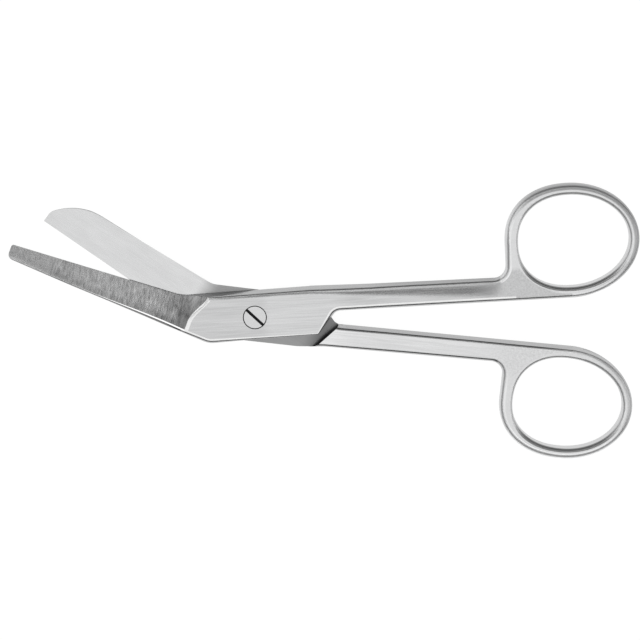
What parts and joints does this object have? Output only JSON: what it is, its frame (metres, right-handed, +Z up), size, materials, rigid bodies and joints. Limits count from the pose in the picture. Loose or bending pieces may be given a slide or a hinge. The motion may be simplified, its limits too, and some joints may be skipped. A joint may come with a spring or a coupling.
{
  "type": "episiotomy scissors",
  "caption": "Angled episiotomy scissors with a screw lap joint, oval finger rings, a slim blunt blade and a broad rounded blade, resting slightly open.",
  "frame": {"origin": "on the pivot axis, at the flush end of the pivot screw, on the plane that the scissors lie on", "axes": "+X from the pivot towards the finger rings, along the handles; +Y towards the ring of the upper half; +Z up along the pivot axis, towards the slotted screw head"},
  "size_m": [0.1442, 0.0642, 0.0046],
  "materials": {
    "upper_steel": "satin brushed stainless steel",
    "lower_steel": "satin brushed stainless steel",
    "screw_steel": "fine turned stainless steel"
  },
  "bodies": {
    "lower": {"lower_half": "lower_steel", "pivot_screw": "screw_steel"},
    "upper": {"upper_half": "upper_steel"}
  },
  "joints": [
    {"name": "pivot", "type": "hinge", "parent": "lower", "child": "upper", "pos_m": [0, 0, 0.0023], "axis": [0, 0, 1], "range_deg": [-8.2, 50]}
  ]
}
